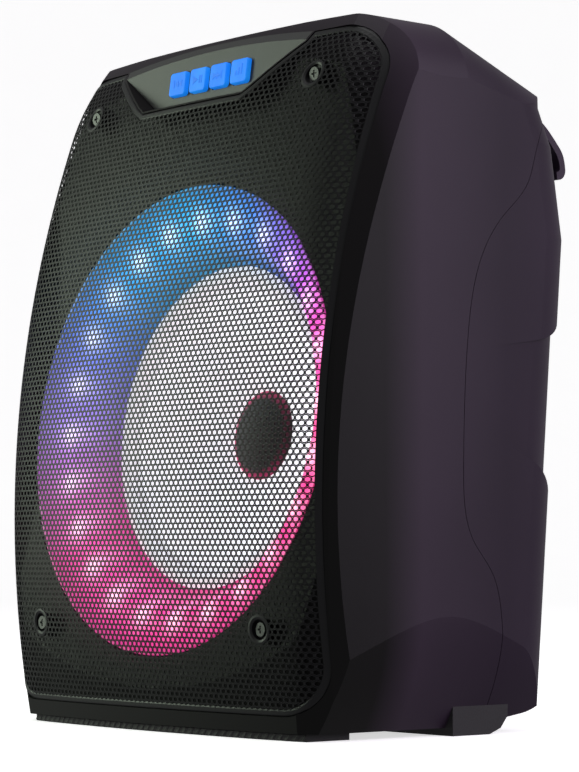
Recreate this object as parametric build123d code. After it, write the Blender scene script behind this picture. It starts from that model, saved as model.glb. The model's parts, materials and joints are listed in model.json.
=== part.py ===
from build123d import *
import math
import os

# A free-standing party speaker: a moulded front shell and rear shell that part along an
# S-shaped line, a bowed perforated grille, a light ring round a 200 mm class woofer, a recessed
# control panel with four push buttons, a rear carry handle and a rear connection panel.
# Millimetres. +Z is up, -Y is the listener's side, the origin is on the floor under the middle.

# ---------------------------------------------------------------- driving dimensions
HALF_WIDTH = 145.0          # widest half of the body
TOP_Z = 374.0               # highest line of the hood
SHELL_BASE_Z = 4.0          # underside of the shells, above the feet
WALL = 3.0                  # shell wall
REACH = 400.0               # longer than the body, for cutting tools

# Bowed front: a centre field and two flanks that fold back to the frame's edge
FIELD_Y = -114.0            # foremost line of the centre field
FIELD_LOW_Z = 113.5         # height of that line
FIELD_ARC_R = 687.5         # field's arc in side view
FIELD_BOW_R = 1118.0        # field's bow in plan
EDGE_X = 140.0              # where the flanks are measured
EDGE_Y = -93.7              # foremost line of the flank there
EDGE_LOW_Z = 121.0
EDGE_ARC_R = 520.0
FLANK_SLOPE = math.tan(math.radians(50.0))
FOLD_SETBACK = 4.5          # facet that softens the fold between field and flank
SHEET_HALF = 152.0          # half width of the front surfaces, past the sides
ROLL_Z = 331.0              # above this height the front rolls back
ROLL_R = 100.0

# Plan of the body: bulged sides and round rear corners, on a rear wall that leans
SIDE_BULGE_R = 576.0
SIDE_BULGE_Y = -21.5
REAR_CORNER_R = 38.0
REAR_BASE_Y = 62.7          # rear wall's plane at floor level
REAR_LEAN = 0.093           # how far it goes back per unit of height
REAR_WALL_TRIM = 0.4        # the flat of the rear wall, inside that plane
HOOD_CREASE = (-4.0, 371.0) # Y and height where the hood starts to slope
HOOD_SLOPE = 0.40
REAR_DRAW_IN = (            # height, how far the rounded rear corners draw in there
    (-10.0, 0.0), (262.0, 0.0), (311.0, 13.6), (331.0, 26.0), (384.0, 32.5),
)
PLAN_FRONT_Y = -140.0       # ahead of the front, where the plan outline is closed

# Front view outline
BASE_HALF = 126.0
CORNER_R = 42.0
CROWN = 2.5
BASE_TURN_Z = 75.0

# Waist scoop on the rear corners: the same plan, turned in sooner
SCOOP_BULGE_R = 350.0
SCOOP_BULGE_Y = -10.5
SCOOP_HALF_WIDTH = 144.7
SCOOP_CORNER_R = 44.0
SCOOP_DEPTH = 1.0

# Woofer axis: it leans back with the baffle
WOOFER_Z = 166.0
WOOFER_Y = -87.5
BAFFLE_LEAN = 7.0
RING_OUTER_R = 127.2
LED_RING_R = 108.0
CONE_VIEW_R = 88.5
DUST_CAP_R = 24.7
LED_COUNT = 24
LED_START = 92.7            # first LED's angle, anticlockwise from +X in front view
FACE_T = 3.0                # face plate between frame and light ring
SHELF_DEPTH = 17.0          # LED board's shelf, behind the face
SEAT_DEPTH = 37.0           # woofer's seat, behind the face
CUP_OUTER_R = 131.0
CUP_INNER_R = 107.0
SEAT_HOLE_R = 93.0
WOOFER_SCREW_R = 98.0
WOOFER_SCREW_ANGLES = [22.5 + 45 * i for i in range(8)]

# Grille
GRILLE_T = 1.6
GRILLE_GAP = 0.3
GRILLE_BASE_Z = 12.5
GRILLE_TOP_Z = 366.0
GRILLE_HALF = 135.0
GRILLE_BASE_R = 26.0
GRILLE_TOP_R = 30.0
GRILLE_SCREW_X = 96.0
GRILLE_SCREW_ROWS = (55.5, 340.5)
GRILLE_CUP_R = 5.6

# Control panel
PANEL_Y = -64.0             # panel's face at PANEL_Z
PANEL_Z = 344.0
PANEL_LEAN = 8.0
PANEL_T = 2.5
PANEL_OUTLINE = ((43.5, 337.5), (50.0, 341.5), (79.0, 361.5), (87.0, TOP_Z + 6.0))
BUTTON_PITCH = 18.0
BUTTON_W = 14.6
BUTTON_H = 13.4
BUTTON_PROUD = 2.4
BUTTON_TRAVEL = 0.8
BUTTON_Z = 352.0
BUTTON_CLEARANCE = 0.35
BUTTON_POST_X = 38.8

# Handle
HANDLE_HALF = 95.0
HANDLE_SCREW_X = (-60.0, -20.0, 20.0, 60.0)
HANDLE_SCREW_Z = 317.0
HANDLE_SCREW_SEAT_Y = 70.0

# Joint between the shells, in side view from the hood's rear edge down to the base
PARTING = (
    (98.0, 334.0), (66.0, 329.5), (47.5, 312.0), (39.0, 290.0), (17.5, 268.6), (0.0, 243.0),
    (-8.5, 205.0), (-12.0, 140.0), (-5.0, 100.0), (8.8, 83.5), (15.5, 62.0), (16.5, -10.0),
)
PARTING_GAP = 0.4
SHELL_SCREWS = ((36.0, 15.8), (166.0, -11.5), (298.0, 42.5))    # height, Y of the joint there
SHELL_SCREW_X = 122.0

# Rear connection panel, bass port and boards
REAR_PANEL_Z = 100.0
REAR_PANEL_SIZE = (96.0, 58.0)
REAR_PANEL_T = 2.2
MAIN_BOARD_DEPTH = 17.0
PANEL_SCREW_X = 45.8
PANEL_SCREW_Y = 26.8
BOARD_POST_X = 40.0
BOARD_POST_Y = 36.0
PORT_Z = 232.0
PORT_R = 26.0


# ---------------------------------------------------------------- shared geometry
def field_y(x, z):
    """Y of the centre field."""
    return FIELD_Y + (z - FIELD_LOW_Z) ** 2 / (2 * FIELD_ARC_R) + x * x / (2 * FIELD_BOW_R) + roll_y(z)


def flank_y(x, z):
    """Y of the flank on the +X side."""
    return EDGE_Y + (z - EDGE_LOW_Z) ** 2 / (2 * EDGE_ARC_R) - (EDGE_X - x) * FLANK_SLOPE + roll_y(z)


def fold_y(x, z):
    """Y of the narrow facet that softens the fold between them."""
    return 0.5 * (field_y(x, z) + flank_y(x, z)) + FOLD_SETBACK


def roll_y(z):
    return max(0.0, z - ROLL_Z) ** 2 / (2 * ROLL_R)


def front_y(x, z):
    """Y of the bowed front at x and z."""
    return max(surface(abs(x), z) for surface in (field_y, flank_y, fold_y))


def steps(first, last, count):
    """Evenly spaced values from first to last."""
    return [first + (last - first) * i / (count - 1) for i in range(count)]


def quadratic_patch(surface, low_z, high_z):
    """A surface that is quadratic in x and z, as one patch wider than the body."""
    xs = steps(-SHEET_HALF, SHEET_HALF, 3)
    zs = steps(low_z, high_z, 3)
    rows = [pole_values([surface(x, z) for x in xs]) for z in zs]
    columns = [pole_values(column) for column in zip(*rows)]
    return Face.make_bezier_surface(
        [[Vector(xs[i], columns[i][j], zs[j]) for j in range(3)] for i in range(3)]
    )


def pole_values(samples):
    """Poles of the parabola through three evenly spaced samples."""
    start, middle, end = samples
    return (start, 2 * middle - (start + end) / 2, end)


def behind_surface(surface):
    """Everything behind one of the front's surfaces."""
    lower = extrude(quadratic_patch(surface, -10.0, ROLL_Z), amount=3 * REACH, dir=(0, 1, 0))
    upper = extrude(quadratic_patch(surface, ROLL_Z, TOP_Z + 14.0), amount=3 * REACH, dir=(0, 1, 0))
    return lower + upper


def make_behind_front():
    sides = behind_surface(flank_y) & behind_surface(fold_y)
    return behind_surface(field_y) & sides & mirror(sides, about=Plane.YZ)


BEHIND_FRONT = make_behind_front()
FRONT_BLOCK = Pos(0, 0, (TOP_Z + 4) / 2) * Box(2 * SHEET_HALF, 2 * REACH, TOP_Z + 24)


def behind_front(setback):
    """Everything behind the front, moved back by setback."""
    return Pos(0, setback, 0) * BEHIND_FRONT


def ahead_of_front(setback):
    """Everything ahead of the front, moved back by setback."""
    return FRONT_BLOCK - behind_front(setback)


def front_layer(setback, thickness):
    """A layer that follows the front, setback behind it."""
    return (behind_front(setback) & FRONT_BLOCK) - behind_front(setback + thickness)


def plan_face(z, rear_y, half_width, bulge_r, bulge_y, corner_r):
    """Plan outline at height z: front line, bulged sides, round rear corners."""
    side_x = half_width - bulge_r
    corner_y = rear_y - corner_r
    corner_x = side_x + math.sqrt((bulge_r - corner_r) ** 2 - (corner_y - bulge_y) ** 2)
    turn = math.atan2(corner_y - bulge_y, corner_x - side_x)
    start = math.asin((PLAN_FRONT_Y - bulge_y) / bulge_r)

    def on_side(angle):
        return (side_x + bulge_r * math.cos(angle), bulge_y + bulge_r * math.sin(angle))

    def on_corner(angle):
        return (corner_x + corner_r * math.cos(angle), corner_y + corner_r * math.sin(angle))

    side = ThreePointArc(on_side(start), on_side((start + turn) / 2), on_side(turn))
    middle = (turn + math.pi / 2) / 2
    corner = ThreePointArc(on_side(turn), on_corner(middle), (corner_x, rear_y))
    half = side + corner + Line((corner_x, rear_y), (0, rear_y)) + Line((0, PLAN_FRONT_Y), on_side(start))
    return Pos(0, 0, z) * make_face(half + mirror(half, about=Plane.YZ))


def plan_loft(inset, scooped):
    """The body's plan carried up the leaning rear wall."""
    half_width = (SCOOP_HALF_WIDTH if scooped else HALF_WIDTH) - inset
    bulge_r = (SCOOP_BULGE_R if scooped else SIDE_BULGE_R) - inset
    bulge_y = SCOOP_BULGE_Y if scooped else SIDE_BULGE_Y
    corner_r = (SCOOP_CORNER_R if scooped else REAR_CORNER_R) - inset
    rear_y = REAR_BASE_Y - inset - (SCOOP_DEPTH if scooped else 0.0)
    faces = [
        plan_face(z, rear_y + REAR_LEAN * z - draw_in, half_width, bulge_r, bulge_y, corner_r)
        for z, draw_in in REAR_DRAW_IN
    ]
    return loft(faces, ruled=True)


def front_view_prism(inset):
    """Front view outline: crowned top, round shoulders, sides drawn in to the base."""
    side = HALF_WIDTH + 0.6
    base = (BASE_HALF, SHELL_BASE_Z)
    turn_r = ((side - BASE_HALF) ** 2 + (BASE_TURN_Z - SHELL_BASE_Z) ** 2) / (2 * (side - BASE_HALF))
    middle = math.asin((BASE_TURN_Z - SHELL_BASE_Z) / turn_r) / 2
    turn_middle = (side - turn_r * (1 - math.cos(middle)), BASE_TURN_Z - turn_r * math.sin(middle))
    right = Line((0, SHELL_BASE_Z), base)
    right += ThreePointArc(base, turn_middle, (side, BASE_TURN_Z))
    right += Line((side, BASE_TURN_Z), (side, TOP_Z - CROWN))
    face = crowned_face(right + mirror(right, about=Plane.YZ), inset)
    return extrude(Plane.XZ * face, amount=REACH, both=True)


def crowned_face(sides, inset):
    """Close a front view outline with the crowned top and its round shoulders."""
    side = HALF_WIDTH + 0.6
    crown = ThreePointArc((side, TOP_Z - CROWN), (0, TOP_Z), (-side, TOP_Z - CROWN))
    face = make_face(sides + crown)
    shoulders = face.vertices().sort_by(Axis.Y)[-2:]
    face = fillet(shoulders, CORNER_R)
    return offset(face, amount=-inset) if inset else face


def hood_prism(inset):
    """The same crown and shoulders, carried down the slope at the rear of the hood."""
    side = HALF_WIDTH + 0.6
    edge_z = TOP_Z - CROWN
    sides = Polyline((side, edge_z), (side, -REACH), (-side, -REACH), (-side, edge_z))
    face = Pos(0, HOOD_CREASE[0], HOOD_CREASE[1] - TOP_Z) * Plane.XZ * crowned_face(sides, inset)
    return extrude(face, amount=2 * REACH, dir=(0, 1, -HOOD_SLOPE), both=True)


def rear_wall_y(z):
    return REAR_BASE_Y + REAR_LEAN * z


def side_view_prism(inset):
    """Side view outline: level hood, sloping top, round rear shoulder and heel."""
    hood_front = (PLAN_FRONT_Y, TOP_Z)
    hood_rear = (64.0, 343.5)
    shoulder = (66.2, 330.0)
    shelf = (77.0, 310.0)
    back_top = (rear_wall_y(255.0) - REAR_WALL_TRIM, 255.0)
    back_low = (rear_wall_y(13.0) - REAR_WALL_TRIM, 13.0)
    heel = (8.0, SHELL_BASE_Z)
    outline = ThreePointArc(hood_front, (-75.0, TOP_Z), HOOD_CREASE)
    outline += Line(HOOD_CREASE, hood_rear)
    outline += Line(hood_rear, shoulder)
    outline += Line(shoulder, shelf)
    outline += ThreePointArc(shelf, (84.0, 287.0), back_top)
    outline += Line(back_top, back_low)
    outline += Line(back_low, heel)
    outline += Line(heel, (PLAN_FRONT_Y, SHELL_BASE_Z))
    outline += Line((PLAN_FRONT_Y, SHELL_BASE_Z), hood_front)
    face = make_face(outline)
    face = round_vertex(face, hood_rear, 13.0)
    face = round_vertex(face, back_low, 26.0)
    face = round_vertex(face, shoulder, 8.0)
    if inset:
        face = offset(face, amount=-inset)
    return extrude(Plane.YZ * face, amount=REACH, both=True)


def round_vertex(face, point, radius):
    """Round the outline's corner nearest to point."""
    corner = face.vertices().sort_by_distance(point)[0]
    return fillet(corner, radius)


def on_baffle(part):
    """Place a part drawn about +Z, its rear, on the woofer's leaning axis."""
    return Pos(0, WOOFER_Y, WOOFER_Z) * Rot(-BAFFLE_LEAN, 0, 0) * Rot(-90, 0, 0) * part


def turned(profile):
    """A ring or disc from its (radius, depth) outline, about +Z."""
    return revolve(Plane.XZ * make_face(Polyline(*profile, close=True)), axis=Axis.Z)


def box_between(low, high):
    """A box from its lowest to its highest corner."""
    size = [high[i] - low[i] for i in range(3)]
    middle = [(high[i] + low[i]) / 2 for i in range(3)]
    return Pos(*middle) * Box(*size)


def rod(start, direction, radius, length):
    """A cylinder from start along direction."""
    return Plane(origin=start, z_dir=direction) * Cylinder(
        radius, length, align=(Align.CENTER, Align.CENTER, Align.MIN)
    )


def both_sides(part):
    """A part and its mirror image, as separate solids."""
    return part + mirror(part, about=Plane.YZ)


def behind_baffle(depth):
    """Everything behind the baffle's leaning plane at depth."""
    return on_baffle(Pos(0, 0, depth + REACH / 2) * Box(2 * REACH, 2 * REACH, REACH))


def parting_side(shift):
    """Everything ahead of the joint between the shells, moved back by shift."""
    joint = Spline(*PARTING)
    ahead = Polyline(PARTING[-1], (-REACH, PARTING[-1][1]), (-REACH, REACH), (PARTING[0][0], REACH), PARTING[0])
    return Pos(0, shift, 0) * extrude(Plane.YZ * make_face(joint + ahead), amount=REACH, both=True)


def xz_prism(sketch):
    """A front view outline carried through the body."""
    return extrude(Plane.XZ * sketch, amount=REACH, both=True)


def grille_sketch(grow):
    """Grille's front view outline: round corners, the top ones larger."""
    height = GRILLE_TOP_Z - GRILLE_BASE_Z
    face = Pos(0, (GRILLE_TOP_Z + GRILLE_BASE_Z) / 2) * Rectangle(2 * GRILLE_HALF, height)
    face = fillet(face.vertices().sort_by(Axis.Y)[-2:], GRILLE_TOP_R)
    face = fillet(face.vertices().sort_by(Axis.Y)[:2], GRILLE_BASE_R)
    return offset(face, amount=grow) if grow else face


def panel_sketch(grow):
    """Control panel's front view outline, wide at the top."""
    left = [(-x, z) for x, z in reversed(PANEL_OUTLINE)]
    face = make_face(Polyline(*PANEL_OUTLINE, *left, close=True))
    return offset(face, amount=grow, kind=Kind.INTERSECTION) if grow else face


def on_panel(part):
    """Place a part drawn in the panel's own frame: X right, Y up the face, Z out of it."""
    return Plane(
        origin=(0, PANEL_Y, PANEL_Z),
        x_dir=(1, 0, 0),
        z_dir=(0, -math.cos(math.radians(PANEL_LEAN)), math.sin(math.radians(PANEL_LEAN))),
    ) * part


def ahead_of_panel(depth):
    """Everything ahead of the panel's plane, depth behind its face."""
    return on_panel(Pos(0, 0, REACH / 2 - depth) * Box(2 * REACH, 2 * REACH, REACH))


def on_rear(part, z):
    """Place a part drawn in the rear wall's frame: X to -X, Y up, Z out of the wall."""
    lean = math.atan(REAR_LEAN)
    return Plane(
        origin=(0, rear_wall_y(z) - REAR_WALL_TRIM, z),
        x_dir=(-1, 0, 0),
        z_dir=(0, math.cos(lean), -math.sin(lean)),
    ) * part


def slab(width, height, near, far):
    """A plate in the rear wall's or the panel's frame, from depth near to depth far."""
    return Pos(0, 0, -(near + far) / 2) * Box(width, height, far - near)


def outer_body(scooped):
    """The closed outside of both shells."""
    body = plan_loft(0, False) & front_view_prism(0) & side_view_prism(0) & behind_front(0)
    body = body & hood_prism(0)
    if scooped:
        lower = Spline((5.0, 160.0), (28.5, 147.5), (50.5, 137.0), (65.5, 124.0), (110.0, 96.0))
        upper = Spline((110.0, 240.0), (78.0, 221.0), (60.5, 210.0), (43.5, 205.5), (5.0, 199.0))
        sides = Line((110.0, 96.0), (110.0, 240.0)) + Line((5.0, 199.0), (5.0, 160.0))
        scoop = extrude(Plane.YZ * make_face(lower + upper + sides), amount=REACH, both=True)
        body -= scoop - plan_loft(0, True)
    return body


OUTER = outer_body(True)
FRONT_SIDE = parting_side(0)
REAR_SIDE_CUT = parting_side(PARTING_GAP)


def enclosure():
    """The sealed air space inside the walls, behind the face plate."""
    space = plan_loft(WALL, True) & front_view_prism(WALL) & side_view_prism(WALL) & hood_prism(WALL)
    return space & behind_front(FACE_T + GRILLE_T + 1.4) & behind_baffle(FACE_T)


ENCLOSURE = enclosure()


# ---------------------------------------------------------------- shells
def grille_screw_spots():
    """Where the grille's screws stand, on the bowed front."""
    return [
        (x, front_y(x, z), z)
        for z in GRILLE_SCREW_ROWS
        for x in (-GRILLE_SCREW_X, GRILLE_SCREW_X)
    ]


def make_front_shell():
    shell = (OUTER & FRONT_SIDE) - ENCLOSURE
    face_side = behind_baffle(0) - ahead_of_front(GRILLE_T + 1.4)
    shell -= xz_prism(grille_sketch(-3.5)) - face_side
    shell += xz_prism(panel_sketch(2.2)) & ahead_of_panel(PANEL_T + 2.0) & OUTER
    shell -= (xz_prism(grille_sketch(GRILLE_GAP)) - xz_prism(panel_sketch(1.0))) & ahead_of_front(GRILLE_T + 0.1)
    shell -= xz_prism(panel_sketch(0)) & ahead_of_panel(PANEL_T)
    back_opening = box_between((-REACH, -REACH, 0), (REACH, REACH, TOP_Z - 8.0))
    shell -= xz_prism(panel_sketch(-5.0)) & ahead_of_panel(PANEL_T + 2.5) & back_opening
    for z, joint_y in SHELL_SCREWS:
        post = rod((SHELL_SCREW_X, joint_y - 0.2, z), (0, -1, 0), 6.0, 120.0)
        post -= rod((SHELL_SCREW_X, joint_y, z), (0, -1, 0), 1.7, 22.0)
        shell += both_sides(post) & ENCLOSURE
    shell -= on_baffle(cup_space())
    shell += on_baffle(cup_wall()) - ahead_of_front(GRILLE_T + 1.4)
    for x, y, z in grille_screw_spots():
        boss = rod((x, y + 4.2, z), (0, 1, 0), 5.0, 40.0)
        shell += boss - behind_baffle(FACE_T)
        shell -= rod((x, y, z), (0, 1, 0), 1.5, 16.0)
    for angle in WOOFER_SCREW_ANGLES:
        shell -= on_baffle(Pos(*polar(WOOFER_SCREW_R, angle), SEAT_DEPTH + 2) * Cylinder(1.6, 4.2))
    return shell


def cup_space():
    """Free space of the light ring and the woofer, ahead of its seat."""
    return turned([
        (0, -30), (RING_OUTER_R + 0.8, -30), (RING_OUTER_R + 0.8, SHELF_DEPTH),
        (CUP_INNER_R - 3, SHELF_DEPTH), (CUP_INNER_R - 3, SEAT_DEPTH), (SEAT_HOLE_R, SEAT_DEPTH),
        (SEAT_HOLE_R, 60), (0, 60),
    ])


def cup_wall():
    """Stepped wall that carries the LED board's shelf and the woofer's seat."""
    return turned([
        (RING_OUTER_R + 0.8, 1), (CUP_OUTER_R, 1), (CUP_OUTER_R, SHELF_DEPTH + 3),
        (CUP_INNER_R, SHELF_DEPTH + 3), (CUP_INNER_R, SEAT_DEPTH + 4), (SEAT_HOLE_R, SEAT_DEPTH + 4),
        (SEAT_HOLE_R, SEAT_DEPTH), (CUP_INNER_R - 3, SEAT_DEPTH), (CUP_INNER_R - 3, SHELF_DEPTH),
        (RING_OUTER_R + 0.8, SHELF_DEPTH),
    ])


def polar(radius, degrees):
    return (radius * math.cos(math.radians(degrees)), radius * math.sin(math.radians(degrees)))


def make_rear_shell():
    shell = (OUTER - REAR_SIDE_CUT) - ENCLOSURE
    for z, joint_y in SHELL_SCREWS:
        seat_y = joint_y + 6.0
        tube = rod((SHELL_SCREW_X, joint_y + 0.4, z), (0, 1, 0), 7.0, 120.0)
        shell += both_sides(tube) & ENCLOSURE
        access = rod((SHELL_SCREW_X, seat_y, z), (0, 1, 0), 4.2, 120.0)
        access += rod((SHELL_SCREW_X, joint_y, z), (0, 1, 0), 2.2, 20.0)
        shell -= both_sides(access)
    width, height = REAR_PANEL_SIZE
    shell -= on_rear(slab(width, height, -3.0, REAR_PANEL_T), REAR_PANEL_Z)
    shell -= on_rear(slab(width - 8, height - 8, -3.0, 12.0), REAR_PANEL_Z)
    shell -= on_rear(Cylinder(PORT_R + 4.5, 30.0), PORT_Z)
    for x in (-BOARD_POST_X, BOARD_POST_X):
        for y in (-BOARD_POST_Y, BOARD_POST_Y):
            post = Pos(x, y, -(MAIN_BOARD_DEPTH + 2.0) / 2) * Cylinder(3.5, MAIN_BOARD_DEPTH - 2.0)
            pilot = Pos(x, y, -MAIN_BOARD_DEPTH + 4.0) * Cylinder(1.2, 8.2)
            shell += on_rear(post, REAR_PANEL_Z) - on_rear(pilot, REAR_PANEL_Z)
    for x in (-PANEL_SCREW_X, PANEL_SCREW_X):
        for y in (-PANEL_SCREW_Y, PANEL_SCREW_Y):
            shell -= on_rear(Pos(x, y, -3.0) * Cylinder(1.3, 6.0), REAR_PANEL_Z)
    for x in HANDLE_SCREW_X:
        shell -= rod((x, 50.0, HANDLE_SCREW_Z), (0, 1, 0), 2.0, 60.0)
        shell -= rod((x, 50.0, HANDLE_SCREW_Z), (0, 1, 0), 4.4, HANDLE_SCREW_SEAT_Y - 50.0)
    return shell


def make_handle():
    """Grab handle: a strap that leaves the hood's rear edge, curls down and turns in."""
    outside = Spline([(60.0, 335.0), (94.4, 333.2), (108.5, 320.5), (113.9, 308.5)], tangents=[(1, 0.05), (0.1, -1)])
    lip = ThreePointArc((113.9, 308.5), (112.6, 303.2), (107.6, 301.4))
    lip_end = Line((107.6, 301.4), (107.2, 305.6))
    lip_inside = ThreePointArc((107.2, 305.6), (109.3, 306.6), (109.7, 308.8))
    inside = Spline([(109.7, 308.8), (104.9, 318.3), (92.6, 328.6), (84.0, 329.4)], tangents=[(-0.1, 1), (-1, -0.1)])
    root = Polyline((84.0, 329.4), (83.0, 310.5), (60.0, 310.5), (60.0, 335.0))
    section = make_face(outside + lip + lip_end + lip_inside + inside + root)
    handle = extrude(Plane.YZ * section, amount=HANDLE_HALF, both=True)
    handle -= outer_body(False)
    for x in HANDLE_SCREW_X:
        handle -= rod((x, 60.0, HANDLE_SCREW_Z), (0, 1, 0), 1.5, 22.0)
    return handle


# ---------------------------------------------------------------- front
def make_grille():
    grille = front_layer(0, GRILLE_T) & xz_prism(grille_sketch(0))
    grille -= xz_prism(panel_sketch(1.0 + GRILLE_GAP))
    for x, y, z in grille_screw_spots():
        grille -= rod((x, y - 5, z), (0, 1, 0), GRILLE_CUP_R, 12.0)
        cup = rod((x, y + 0.3, z), (0, 1, 0), GRILLE_CUP_R, 3.7) - rod((x, y - 5, z), (0, 1, 0), 4.6, 8.0)
        grille += cup - rod((x, y - 5, z), (0, 1, 0), 1.9, 20.0)
    return grille


def make_control_panel():
    panel = xz_prism(panel_sketch(-0.3)) & ahead_of_panel(PANEL_T) & OUTER
    panel -= ahead_of_panel(0)
    for x in button_centres():
        hole = Pos(x, BUTTON_Z - PANEL_Z, 0) * Box(
            BUTTON_W + 2 * BUTTON_CLEARANCE, BUTTON_H + 2 * BUTTON_CLEARANCE, 12.0
        )
        panel -= on_panel(fillet(hole.edges().filter_by(Axis.Z), 2.0))
    return panel


def button_centres():
    return [BUTTON_PITCH * (i - 1.5) for i in range(4)]


def make_button(x):
    """Square keycap with soft edges and a retaining flange behind the panel."""
    depth = BUTTON_PROUD + PANEL_T + 0.3
    cap = Pos(0, 0, BUTTON_PROUD - depth / 2) * Box(BUTTON_W, BUTTON_H, depth)
    cap = fillet(cap.edges().filter_by(Axis.Z), 2.0)
    cap = fillet(cap.faces().sort_by(Axis.Z)[-1].edges(), 0.9)
    flange = Pos(0, 0, -PANEL_T - 0.3 - 0.5) * Box(BUTTON_W + 2.0, BUTTON_H + 2.4, 1.0)
    return on_panel(Pos(x, BUTTON_Z - PANEL_Z, 0) * (cap + flange))


BUTTON_BACK = PANEL_T + 1.3         # depth of a keycap's back behind the panel's face
SWITCH_TIP = BUTTON_BACK + BUTTON_TRAVEL + 0.15
SWITCH_TOP = SWITCH_TIP + 0.8
BUTTON_BOARD_FRONT = SWITCH_TOP + 3.4
BUTTON_BOARD_T = 1.6


def make_tact_switches():
    """Four switches: a square body and a round plunger each."""
    switches = Part()
    for x in button_centres():
        body = Pos(0, 0, -(SWITCH_TOP + BUTTON_BOARD_FRONT) / 2) * Box(6.2, 6.2, BUTTON_BOARD_FRONT - SWITCH_TOP)
        plunger = Pos(0, 0, -(SWITCH_TIP + SWITCH_TOP) / 2) * Cylinder(1.75, SWITCH_TOP - SWITCH_TIP)
        switches += on_panel(Pos(x, BUTTON_Z - PANEL_Z, 0) * (body + plunger))
    return switches


def make_button_board():
    middle = -(BUTTON_BOARD_FRONT + BUTTON_BOARD_T / 2)
    board = Pos(0, BUTTON_Z - PANEL_Z, middle) * Box(84.0, 18.0, BUTTON_BOARD_T)
    for x in (-BUTTON_POST_X, BUTTON_POST_X):
        board -= Pos(x, BUTTON_Z - PANEL_Z, middle) * Cylinder(1.6, 4.0)
    return on_panel(board)


def make_button_board_posts():
    """Two clip-in standoffs between the panel's back and the button board."""
    posts = Part()
    for x in (-BUTTON_POST_X, BUTTON_POST_X):
        length = BUTTON_BOARD_FRONT - PANEL_T
        post = Pos(x, BUTTON_Z - PANEL_Z, -(PANEL_T + length / 2)) * Cylinder(2.8, length)
        posts += on_panel(post)
    return posts


# ---------------------------------------------------------------- light ring
def make_light_ring():
    """Milky funnel from the face down to the woofer, with a step over the LEDs."""
    return on_baffle(turned([
        (RING_OUTER_R, 0), (RING_OUTER_R, 2.4), (114.6, 11.6), (104.4, 13.4), (92.6, 32.0), (CONE_VIEW_R, 31.0),
        (CONE_VIEW_R, 29.4), (90.9, 29.9), (103.0, 11.2), (113.4, 9.4), (125.6, 0),
    ]))


def make_led_board():
    return on_baffle(turned([
        (CUP_INNER_R - 2.5, SHELF_DEPTH - 1.2), (115.0, SHELF_DEPTH - 1.2),
        (115.0, SHELF_DEPTH), (CUP_INNER_R - 2.5, SHELF_DEPTH),
    ]))


def make_leds():
    leds = Part()
    for i in range(LED_COUNT):
        chip = Pos(LED_RING_R + 1.5, 0, SHELF_DEPTH - 2.0) * Box(5.0, 5.0, 1.6)
        leds += on_baffle(Rot(0, 0, -LED_START - i * 360 / LED_COUNT) * chip)
    return leds


# ---------------------------------------------------------------- woofer
def make_basket():
    """Pressed frame: flange, conical legs with windows, and a magnet plate."""
    basket = turned([
        (89.0, 34.8), (102.5, 34.8), (102.5, 37.0), (92.0, 37.0), (48.0, 78.0), (48.0, 82.0),
        (21.6, 82.0), (21.6, 80.0), (46.4, 80.0), (46.4, 77.2), (89.0, 37.6),
    ])
    for angle in range(0, 360, 60):
        window = Rot(0, 0, angle) * Pos(70, 0, 59) * Rot(0, 47, 0) * Box(30, 40, 22)
        basket -= window
    for angle in WOOFER_SCREW_ANGLES:
        basket -= Pos(*polar(WOOFER_SCREW_R, angle), 36.0) * Cylinder(1.9, 6.0)
    return on_baffle(basket)


def make_gasket():
    return on_baffle(turned([(93.4, 33.6), (94.6, 33.6), (94.6, 34.8), (93.4, 34.8)]))


def make_surround():
    """Half roll between the basket's flange and the cone."""
    outline = Polyline((93.2, 33.9), (89.4, 33.9)) + ThreePointArc((89.4, 33.9), (84.0, 29.6), (79.0, 34.4))
    outline += Polyline((79.0, 34.4), (76.4, 35.8), (76.9, 36.6), (79.7, 35.2))
    outline += ThreePointArc((79.7, 35.2), (84.0, 30.6), (88.8, 34.75))
    outline += Polyline((88.8, 34.75), (93.2, 34.75), (93.2, 33.9))
    return on_baffle(revolve(Plane.XZ * make_face(outline), axis=Axis.Z))


def make_cone():
    return on_baffle(turned([
        (78.4, 36.9), (77.6, 37.6), (26.0, 63.4), (19.7, 66.6), (19.7, 65.2), (25.4, 62.2), (76.2, 37.4), (77.4, 36.8),
    ]))


def make_dust_cap():
    """Shallow dome glued over the middle of the cone."""
    return on_baffle(turned([
        (0, 55.1), (8.0, 55.8), (15.5, 57.6), (21.0, 59.9), (DUST_CAP_R, 61.9), (DUST_CAP_R, 62.5),
        (23.9, 62.9), (20.6, 60.9), (15.2, 58.6), (7.9, 56.8), (0, 56.1),
    ]))


def make_voice_coil():
    """Former with its winding at the rear end."""
    return on_baffle(turned([
        (19.2, 63.0), (19.7, 63.0), (19.7, 80.0), (20.1, 80.0), (20.1, 92.0), (19.2, 92.0),
    ]))


def make_spider():
    """Corrugated disc that centres the voice coil."""
    top = [(19.7 + i * 2.6, 74.0 + (0.9 if i % 2 else -0.9)) for i in range(10)] + [(48.6, 74.2)]
    bottom = [(r, depth + 0.7) for r, depth in reversed(top)]
    return on_baffle(turned(top + bottom))


def make_top_plate():
    return on_baffle(turned([(21.2, 82.0), (45.0, 82.0), (45.0, 87.0), (21.2, 87.0)]))


def make_magnet():
    return on_baffle(turned([(27.0, 87.0), (50.0, 87.0), (50.0, 103.0), (27.0, 103.0)]))


def make_back_plate():
    """Rear plate with the pole piece that stands inside the voice coil."""
    return on_baffle(turned([(0, 83.0), (18.4, 83.0), (18.4, 103.0), (45.0, 103.0), (45.0, 108.0), (0, 108.0)]))


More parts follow.
